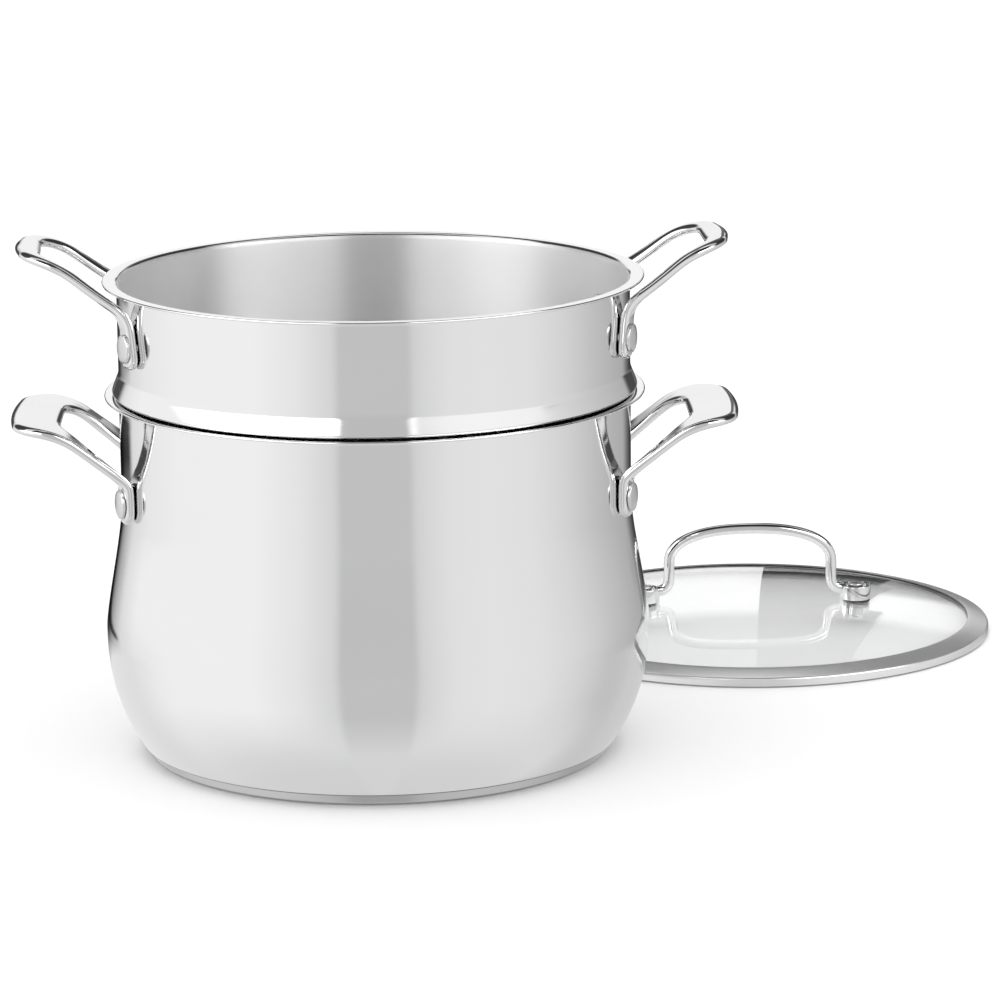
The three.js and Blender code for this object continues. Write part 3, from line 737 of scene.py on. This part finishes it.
def fitHandles(body, turnOfBody):
    size = handleSizes[body]
    handle = makeHandle(f"{body}_grip_right", size)
    rivet = makeRivet(f"{body}_rivet_head_right_back", size["wall"])
    left = copyPiece(handle, f"{body}_grip_left")
    spots = [("right", "back", size["rivetAngle"]), ("right", "front", -size["rivetAngle"])]
    spots += [("left", "front", 180 + size["rivetAngle"]), ("left", "back", 180 - size["rivetAngle"])]
    rivets = [rivet] + [copyPiece(rivet, f"{body}_rivet_head_{side}_{end}") for side, end, _ in spots[1:]]
    for piece, side, turn in ((handle, "right", 0), (left, "left", 180)):
        placePiece(piece, turn + turnOfBody)
        finishPiece(piece, body, "cast_steel", castSteel, f"{body}_handle_{side}")
    for piece, (side, end, turn) in zip(rivets, spots):
        placePiece(piece, turn + turnOfBody, (0, 0, size["rivetHeight"]))
        finishPiece(piece, body, "satin_steel", satinSteel, f"{body}_rivet_{side}_{end}")


fitHandles("pot", 0.0)
fitHandles("insert", general["insertTurn"])
print("handles and rivets fitted")


# lid band: a rolled strip round the edge of the glass

bandSizes = {
    "radius": 114.5, "sheet": 0.7, "side": 4.2, "inner": 104.6, "innerHeight": 7.0, "foot": 106.7,
    "edge": 0.7, "shoulderSoft": 1.1, "lipWidth": 1.6, "lipDrop": 0.35, "lipSoft": 0.6,
    "shadeInward": -0.2, "shadeDown": -0.5,
}


def makeBand():
    size = bandSizes
    outer = size["radius"]
    top = (outer, size["side"])
    crest = (size["inner"], size["innerHeight"])
    lip = (size["inner"] + size["lipWidth"], size["innerHeight"] - size["lipDrop"])
    path = [(size["foot"], 0.0)]
    path += softCorner((size["foot"], 0.0), (outer, 0.0), top, size["edge"])
    path += softCorner((outer, 0.0), top, crest, size["shoulderSoft"], 5)
    path += softCorner(top, lip, crest, size["lipSoft"], 3)
    path += [crest]
    inside = besidePath(path, size["sheet"])
    outline = path + inside[::-1] + [path[0]]
    return turnedPiece("lid_rim_band", outline, general["roundSteps"])


lidBand = makeBand()
placeOnLid(lidBand)
finishPiece(lidBand, "lid", "polished_steel", bandSteel, "lid_band")
# faces of the band that look in towards the axis or down are painted dark as shade, the shade inside the
# roll seen through the glass
shadedFaces = []
for face in lidBand.data.polygons:
    fromAxis = Vector((face.center.x, face.center.y, 0)) - Vector(lidPlace) * mm
    outward = face.normal.dot(fromAxis.normalized())
    if outward < bandSizes["shadeInward"] or face.normal.z < bandSizes["shadeDown"]:
        shadedFaces.append(face)
dressFaces(lidBand, paintedShadeSteel, shadedFaces)


# lid glass: a shallow dome with two screw holes

glassSizes = {
    "crown": 15.1, "sag": 0.000832, "show": 104.6, "radius": 111.2, "thickness": 3.6, "slope": 0.301,
    "foot": 1.0, "screwHole": 2.3, "holeSides": 24, "cutLength": 20.0, "cutHeight": 11.0, "domeSteps": 24,
}
stackX = 51.0


def glassHeight(radius):
    return glassSizes["crown"] - glassSizes["sag"] * radius ** 2


def makeGlass():
    size = glassSizes
    top = [(size["show"] * t, glassHeight(size["show"] * t)) for t in shares(size["domeSteps"])]
    edgeTop = top[-1][1] - size["slope"] * (size["radius"] - size["show"])
    bottom = [(radius, height - size["thickness"]) for radius, height in top]
    outline = bottom + [(size["radius"], size["foot"]), (size["radius"], edgeTop)] + top[::-1]
    glass = turnedPiece("lid_dome_glass", outline, general["roundSteps"])
    for x in (-stackX, stackX):
        place = (x, 0, size["cutHeight"])
        cutWith(glass, addCylinder(size["holeSides"], size["screwHole"], size["cutLength"], place))
    smoothPiece(glass)
    return glass


lidGlass = makeGlass()
placeOnLid(lidGlass)
finishPiece(lidGlass, "lid", "clear_glass", clearGlass, "lid_glass")
lidGlass.visible_shadow = False
lidGlass.visible_diffuse = False
print("lid band and glass turned")


# lid handle: a bent rod that ends in two open cups

rodSizes = {
    "radius": 2.6, "leg": 39.05, "legTop": 31.94, "archRise": 17.0, "archPower": 2.4, "legFoot": 24.94,
    "end": 46.3, "endHeight": 18.74, "cupRadius": 7.3, "cupBottom": 15.94, "cupHeight": 4.6, "cupWall": 1.4,
    "cupFloor": 1.4, "cupSoft": 0.5, "cupChamfer": 0.4, "bore": 2.3, "clear": 1.0, "skirtInner": 7.0,
    "skirtBottom": 13.9, "archSteps": 16, "legSteps": 3, "bendSteps": 8, "ringSteps": 5, "cupSteps": 48,
    "smoothAngle": 40,
}


def rodLine():
    size = rodSizes
    halfArch = []
    for t in shares(size["archSteps"]):
        angle = math.radians(90 - 90 * t)
        across = math.cos(angle) ** (2 / size["archPower"])
        up = math.sin(angle) ** (2 / size["archPower"])
        halfArch.append((size["leg"] * across, size["legTop"] + size["archRise"] * up))
    arch = [(-x, z) for x, z in halfArch[:0:-1]] + halfArch
    legFoot = (size["leg"], size["legFoot"])
    end = (size["end"], size["endHeight"])
    corner = (size["leg"], size["endHeight"])
    reach = size["legFoot"] - size["endHeight"]
    right = straightPoints((size["leg"], size["legTop"]), legFoot, size["legSteps"])[1:]
    right += softCorner(legFoot, corner, end, reach, size["bendSteps"])[1:]
    right += [end]
    left = [(-x, z) for x, z in right[::-1]]
    return left + arch + right


def makeLidHandle():
    size = rodSizes
    line = rodLine()
    selectNone()
    bpy.ops.curve.primitive_bezier_curve_add()
    rod = bpy.context.object
    rod.name = "lid_bent_rod"
    rod.data.splines.clear()
    spline = rod.data.splines.new("POLY")
    spline.points.add(len(line) - 1)
    for point, (x, z) in zip(spline.points, line):
        point.co = (x * mm, 0, z * mm, 1)
    rod.data.dimensions = "3D"
    rod.data.bevel_depth = size["radius"] * mm
    rod.data.bevel_resolution = size["ringSteps"]
    rod.data.use_fill_caps = True
    bpy.ops.object.convert(target="MESH")
    rod = bpy.context.object
    setMode("EDIT")
    closeMesh(rod, size["smoothAngle"])
    bottom = size["cupBottom"]
    floor = bottom + size["cupFloor"]
    top = bottom + size["cupHeight"]
    above = top + size["clear"]
    below = bottom - size["clear"]
    inner = size["cupRadius"] - size["cupWall"]
    mouth = inner + size["cupChamfer"]
    foot = (size["cupRadius"], size["skirtBottom"])
    outside = [(0.0, bottom), (size["skirtInner"], bottom), (size["skirtInner"], size["skirtBottom"]), foot]
    outside += softCorner(foot, (size["cupRadius"], top), (0, top), size["cupSoft"])
    outside += [(0.0, top)]
    bore = [(0.0, below), (size["bore"], below), (size["bore"], floor), (inner, floor)]
    bore += [(inner, top - size["cupChamfer"]), (mouth, top), (mouth, above), (0.0, above)]
    for x in (-stackX, stackX):
        cup = turnedPiece("cup_body", outside, size["cupSteps"])
        placePiece(cup, place=(x, 0, 0))
        cutWith(rod, cup, "UNION")
        hollow = turnedPiece("cup_bore", bore, size["cupSteps"])
        placePiece(hollow, place=(x, 0, 0))
        cutWith(rod, hollow)
    smoothPiece(rod, size["smoothAngle"])
    return rod


lidHandle = makeLidHandle()
placeOnLid(lidHandle)
finishPiece(lidHandle, "lid", "cast_steel", castSteel, "lid_handle")


# screws in the cups, with pads over and under the glass

stackSizes = {
    "screwHead": 3.4, "headHeight": 3.8, "headBevel": 0.9, "socket": 1.7, "socketDepth": 1.4,
    "socketSides": 6, "screw": 2.0, "screwFoot": 2.4, "tipChamfer": 0.4, "screwSteps": 40,
    "padRadius": 6.9, "padTop": 15.64, "bore": 2.3, "padSoft": 0.4, "padClear": 0.15, "padSteps": 48,
    "padAngle": 40, "lowerPad": 6.0, "lowerFoot": 7.1,
}


def makeScrew():
    size = stackSizes
    seat = rodSizes["cupBottom"] + rodSizes["cupFloor"] + general["gap"]
    top = seat + size["headHeight"]
    head = size["screwHead"]
    shank = size["screw"]
    foot = size["screwFoot"]
    outline = [(0.0, foot), (shank - size["tipChamfer"], foot), (shank, foot + size["tipChamfer"])]
    outline += [(shank, seat), (head, seat)]
    outline += softCorner((head, seat), (head, top), (0.0, top), size["headBevel"], 6)
    outline += [(0.0, top)]
    screw = turnedPiece("lid_cap_screw", outline, size["screwSteps"])
    cutWith(screw, addCylinder(size["socketSides"], size["socket"], 2 * size["socketDepth"], (0, 0, top)))
    smoothPiece(screw)
    return screw


# a ring of silicone whose face on the glass follows the dome
def makePad(name, radius, low, high, glassBelow):
    bore = stackSizes["bore"]
    soft = stackSizes["padSoft"]
    outline = [(bore, low)] + softCorner((bore, low), (radius, low), (radius, high), soft, 3)
    outline += softCorner((radius, low), (radius, high), (bore, high), soft, 3) + [(bore, high), (bore, low)]
    pad = turnedPiece(name, outline, stackSizes["padSteps"])
    setMode("EDIT")
    ring = bmesh.from_edit_mesh(pad.data)
    middle = (low + high) / 2 * mm
    for corner in ring.verts:
        tilt = glassHeight(math.hypot(corner.co.x / mm + stackX, corner.co.y / mm)) - glassHeight(stackX)
        if (corner.co.z < middle) == glassBelow:
            corner.co.z += tilt * mm
    bmesh.update_edit_mesh(pad.data)
    closeMesh(pad, stackSizes["padAngle"])
    return pad


screw = makeScrew()
upperLow = glassHeight(stackX) + stackSizes["padClear"]
upperPad = makePad("lid_upper_pad", stackSizes["padRadius"], upperLow, stackSizes["padTop"], True)
lowerHigh = glassHeight(stackX) - glassSizes["thickness"] - stackSizes["padClear"]
lowerPad = makePad("lid_under_pad", stackSizes["lowerPad"], stackSizes["lowerFoot"], lowerHigh, False)
stack = [
    (screw, "lid_screw", "satin_steel", satinSteel),
    (upperPad, "lid_pad", "silicone", darkSilicone),
    (lowerPad, "lid_lower_pad", "pale_silicone", paleSilicone),
]
for piece, node, slot, material in stack:
    twin = copyPiece(piece, piece.name + "_left")
    piece.name = piece.name + "_right"
    for each, side, turn, x in ((piece, "right", 0, stackX), (twin, "left", 180, -stackX)):
        placePiece(each, turn, (lidPlace[0] + x, lidPlace[1], 0))
        finishPiece(each, "lid", slot, material, f"{node}_{side}")
print("lid handle, screws and pads fitted")


# CAD pieces that stay: the sealed disc and the nuts under the glass

for node, material in (
        ("base_core", sealedAluminium), ("lid_nut_left", satinSteel), ("lid_nut_right", satinSteel)):
    kept = bpy.data.objects[node]
    kept.data.materials.clear()
    kept.data.materials.append(material)


# white table and the light round it

studio = {
    "tableSize": 12.0, "tableDrop": 0.0003, "tableGlow": 0.04, "tableColour": 0.93, "tableSpread": 0.01,
    "paperScale": 40.0, "paperDetail": 2.0, "tableTone": 0.88, "gapTone": 0.07,
    "skyForTable": 1.15, "lampSize": 2.2, "lampPower": 3.0, "lampPlace": (-0.9, -0.4, 2.3),
}


# 1 for what the camera sees straight or through the glass, and 0 for the rest
def seenNode(nodes, links):
    path = addNode(nodes, "ShaderNodeLightPath")
    either = addNode(nodes, "ShaderNodeMath", operation="MAXIMUM")
    joinNodes(links, (path, "Is Camera Ray", either, 0), (path, "Is Transmission Ray", either, 1))
    return either


def makeTable():
    selectNone()
    bpy.ops.mesh.primitive_plane_add(size=studio["tableSize"], location=(0, 0, -studio["tableDrop"]))
    table = bpy.context.object
    table.name = "white_table"
    material, nodes, links, shader = newMaterial("white_table")
    level = studio["tableColour"]
    spread = studio["tableSpread"]
    paper = noiseNode(nodes, studio["paperScale"], studio["paperDetail"])
    tone = rampNode(nodes, (0.0, grey(level - spread)), (1.0, grey(level + spread)))
    glow = addNode(nodes, "ShaderNodeMath", {1: studio["tableGlow"]}, operation="MULTIPLY")
    joinNodes(
        links, (paper, "Fac", tone, "Fac"), (tone, "Color", shader, "Base Color"),
        (seenNode(nodes, links), "Value", glow, 0), (glow, "Value", shader, "Emission Strength"))
    setSockets(shader, {"Roughness": 1.0, "Specular IOR Level": 0.0, "Emission Color": grey(1)})
    table.data.materials.append(material)
    table.visible_glossy = False


# what the polished steel mirrors, by the angle round from the viewer and by the angle over the table:
# pale walls with a grey panel towards the viewer, soft boxes over them, dark gaps and a dark roof
frontWalls = [
    (-55, 1.0), (-34, 0.9), (-20, 0.77), (18, 0.74), (23, 0.79), (33, 0.86), (50, 0.88), (72, 0.86),
]
lowLevel = [(-90, 0.8), (-60, 0.85), (-40, 0.95), (-25, 1.0)]
mirrorAround = {
    "lowWalls": [
        (-180, 0.8), (-160, 0.85), (-130, 0.9), (-100, 0.99), *frontWalls, (92, 0.76), (115, 0.6),
        (135, 0.5), (150, 0.44), (180, 0.42),
    ],
    "highWalls": [
        (-180, 1.0), (-170, 1.0), (-160, 0.5), (-150, 0.55), (-140, 0.88), (-125, 1.0), *frontWalls,
        (92, 0.77), (115, 0.62), (135, 0.52), (150, 0.46), (160, 0.5), (170, 1.0), (180, 1.0),
    ],
    "edgeShade": [
        (-180, 0.04), (-163, 0.06), (-157, 0.35), (-150, 0.6), (-140, 0.9), (-125, 1.0), (148, 1.0),
        (156, 0.4), (164, 0.12), (180, 0.07),
    ],
    "neckBar": [(-180, 0.06), (-147, 0.06), (-142, 1.0), (180, 1.0)],
    "rightShare": [(-180, 0.0), (8, 0.0), (20, 1.0), (180, 1.0)],
    "backShare": [(-180, 1.0), (-114, 1.0), (-82, 0.0), (80, 0.0), (92, 1.0), (180, 1.0)],
    "panelShare": [(-180, 0.0), (-19, 0.0), (-15.5, 1.0), (14.5, 1.0), (17.5, 0.0), (180, 0.0)],
    "gapAround": [
        (-180, 0.0), (-175, 0.0), (-172, 1.0), (-150, 1.0), (-145, 0.0), (143, 0.0), (148, 1.0), (172, 1.0),
        (175, 0.0), (180, 0.0),
    ],
    "footTone": [(-180, 0.84), (-100, 0.84), (100, 0.66), (180, 0.66)],
    "footAround": [(-180, 1.0), (-138, 1.0), (-110, 0.0), (110, 0.0), (138, 1.0), (180, 1.0)],
}
mirrorUp = {
    "frontLevel": [
        *lowLevel, (14, 1.0), (20, 3.6), (46, 3.6), (51, 0.6), (55, 0.1), (60, 0.04), (90, 0.03),
    ],
    "rightLevel": [
        *lowLevel, (14, 1.0), (19, 1.2), (32, 1.2), (35, 6.0), (46, 6.0), (51, 0.6), (55, 0.1),
        (60, 0.04), (90, 0.03),
    ],
    "backLevel": [
        *lowLevel, (18, 1.0), (21, 0.14), (24, 0.08), (49, 0.08), (52, 0.9), (54, 1.05), (64, 1.05),
        (69, 0.3), (73, 0.05), (90, 0.03),
    ],
    "panelTone": [
        (-90, 0.74), (-52, 0.76), (-28, 0.61), (-8, 0.61), (20, 0.57), (46, 0.57), (52, 0.3), (56, 0.06),
        (90, 0.03),
    ],
    "highShare": [(-90, 0.0), (-8.5, 0.0), (-4, 1.0), (90, 1.0)],
    "tableShare": [(-90, 1.0), (-50, 1.0), (-26, 0.0), (90, 0.0)],
    "neckShare": [(-90, 0.0), (-12.8, 0.0), (-12.2, 1.0), (-11.3, 1.0), (-10.8, 0.0), (90, 0.0)],
    "gapShare": [(-90, 0.0), (-8.5, 0.0), (-6, 1.0), (7.5, 1.0), (10, 0.0), (90, 0.0)],
    "footShare": [(-90, 1.0), (-15.4, 1.0), (-13.8, 0.0), (90, 0.0)],
}


def mixColours(tree, share, first, second, blend="MIX"):
    node = addNode(tree.nodes, "ShaderNodeMix", data_type="RGBA", blend_type=blend, clamp_factor=True)
    if share is None:
        node.inputs["Factor"].default_value = 1.0
    else:
        tree.links.new(share, node.inputs["Factor"])
    tree.links.new(first, node.inputs["A"])
    if isinstance(second, float):
        node.inputs["B"].default_value = grey(second)
    else:
        tree.links.new(second, node.inputs["B"])
    return node.outputs["Result"]


def makeWorld():
    world = bpy.data.worlds.new("white_studio")
    bpy.context.scene.world = world
    world.use_nodes = True
    tree = world.node_tree
    nodes = tree.nodes
    links = tree.links
    nodes.clear()
    direction = addNode(nodes, "ShaderNodeTexCoord")
    parts = addNode(nodes, "ShaderNodeSeparateXYZ")
    front = addNode(nodes, "ShaderNodeMath", {1: -1.0}, operation="MULTIPLY")
    around = addNode(nodes, "ShaderNodeMath", operation="ARCTAN2")
    up = addNode(nodes, "ShaderNodeMath", operation="ARCSINE")
    joinNodes(
        links, (direction, "Generated", parts, "Vector"), (parts, "Y", front, 0), (parts, "X", around, 0),
        (front, "Value", around, 1), (parts, "Z", up, 0))
    tones = {}
    for stopLists, angle, most in ((mirrorAround, around, 180), (mirrorUp, up, 90)):
        limit = math.radians(most)
        share = addNode(nodes, "ShaderNodeMapRange", {"From Min": -limit, "From Max": limit})
        joinNodes(links, (angle, "Value", share, "Value"))
        for name, stops in stopLists.items():
            ramp = rampNode(nodes, *[((at + most) / (2 * most), grey(level)) for at, level in stops])
            joinNodes(links, (share, "Result", ramp, "Fac"))
            tones[name] = ramp.outputs["Color"]
    lower = mixColours(tree, tones["tableShare"], tones["lowWalls"], studio["tableTone"])
    lower = mixColours(tree, None, lower, tones["edgeShade"], "MULTIPLY")
    lower = mixColours(tree, tones["neckShare"], lower, tones["neckBar"], "MULTIPLY")
    foot = mixColours(tree, None, tones["footAround"], tones["footShare"], "MULTIPLY")
    lower = mixColours(tree, foot, lower, tones["footTone"])
    walls = mixColours(tree, tones["highShare"], lower, tones["highWalls"])
    height = mixColours(tree, tones["rightShare"], tones["frontLevel"], tones["rightLevel"])
    height = mixColours(tree, tones["backShare"], height, tones["backLevel"])
    both = mixColours(tree, None, walls, height, "MULTIPLY")
    gap = mixColours(tree, None, tones["gapAround"], tones["gapShare"], "MULTIPLY")
    both = mixColours(tree, gap, both, studio["gapTone"])
    withPanel = mixColours(tree, tones["panelShare"], both, tones["panelTone"])
    mirrored = addNode(nodes, "ShaderNodeBackground")
    links.new(withPanel, mirrored.inputs["Color"])
    soft = addNode(nodes, "ShaderNodeBackground", {"Color": grey(1), "Strength": studio["skyForTable"]})
    white = addNode(nodes, "ShaderNodeBackground", {"Color": grey(1)})
    path = addNode(nodes, "ShaderNodeLightPath")
    pickMirror = addNode(nodes, "ShaderNodeMixShader")
    pickWhite = addNode(nodes, "ShaderNodeMixShader")
    output = addNode(nodes, "ShaderNodeOutputWorld")
    joinNodes(
        links, (path, "Is Glossy Ray", pickMirror, "Fac"), (soft, "Background", pickMirror, 1),
        (mirrored, "Background", pickMirror, 2), (seenNode(nodes, links), "Value", pickWhite, "Fac"),
        (pickMirror, "Shader", pickWhite, 1), (white, "Background", pickWhite, 2),
        (pickWhite, "Shader", output, "Surface"))


# dark and grey cards far behind, seen only as they are mirrored in the lid's glass and the handles
cardSizes = {"away": 2.2, "dark": 0.02, "grey": 0.16, "spread": 0.05}
cards = [
    ("dark", (0.356, 0.52), (-0.26, 0.17)), ("grey", (0.356, 0.54), (0.17, 0.6)),
    ("grey", (0.356, 0.58), (0.6, 1.45)), ("dark", (-0.1, 0.1), (-0.26, 0.26)),
]


def makeCards():
    for number, (tone, (left, right), (bottom, top)) in enumerate(cards):
        selectNone()
        place = ((left + right) / 2, cardSizes["away"], (bottom + top) / 2)
        bpy.ops.mesh.primitive_plane_add(size=1, location=place, rotation=(math.pi / 2, 0, 0))
        card = bpy.context.object
        card.name = f"studio_card_{number}"
        card.scale = (right - left, top - bottom, 1)
        keepPlace()
        material, nodes, links, shader = newMaterial(f"studio_card_{number}")
        level = cardSizes[tone]
        spread = cardSizes["spread"] * level
        paper = addNode(nodes, "ShaderNodeTexNoise")
        tint = rampNode(nodes, (0.0, grey(level - spread)), (1.0, grey(level + spread)))
        joinNodes(links, (paper, "Fac", tint, "Fac"), (tint, "Color", shader, "Emission Color"))
        setSockets(shader, {"Emission Strength": 1.0, "Base Color": grey(0), "Specular IOR Level": 0.0})
        card.data.materials.append(material)
        card.visible_camera = False
        card.visible_diffuse = False
        card.visible_shadow = False


def makeLamp():
    bpy.ops.object.light_add(type="AREA", location=studio["lampPlace"])
    lamp = bpy.context.object
    lamp.data.size = studio["lampSize"]
    lamp.data.energy = studio["lampPower"]
    lamp.rotation_euler = (-Vector(studio["lampPlace"])).to_track_quat("-Z", "Y").to_euler()
    lamp.visible_glossy = False
    lamp.visible_transmission = False


makeTable()
makeWorld()
makeCards()
makeLamp()
print("table and light set")


# camera, fitted to the rims, the base and the lid of the photograph

cameraFit = {
    "place": (0.0, -2.037907, 0.5595264), "lens": 171.9, "sensor": 36.0, "clipEnd": 50.0,
    "down": 12.4753, "right": 1.5134, "roll": -0.5913,
}


def makeCamera():
    turns = ((-cameraFit["right"], "Z"), (90 - cameraFit["down"], "X"), (cameraFit["roll"], "Z"))
    aside, tilt, roll = [Matrix.Rotation(math.radians(angle), 3, axis) for angle, axis in turns]
    bpy.ops.object.camera_add(location=cameraFit["place"])
    camera = bpy.context.object
    camera.data.lens = cameraFit["lens"]
    camera.data.sensor_width = cameraFit["sensor"]
    camera.data.clip_end = cameraFit["clipEnd"]
    camera.rotation_euler = (aside @ tilt @ roll).to_euler()
    bpy.context.scene.camera = camera


makeCamera()
bpy.context.scene.view_settings.view_transform = "Standard"
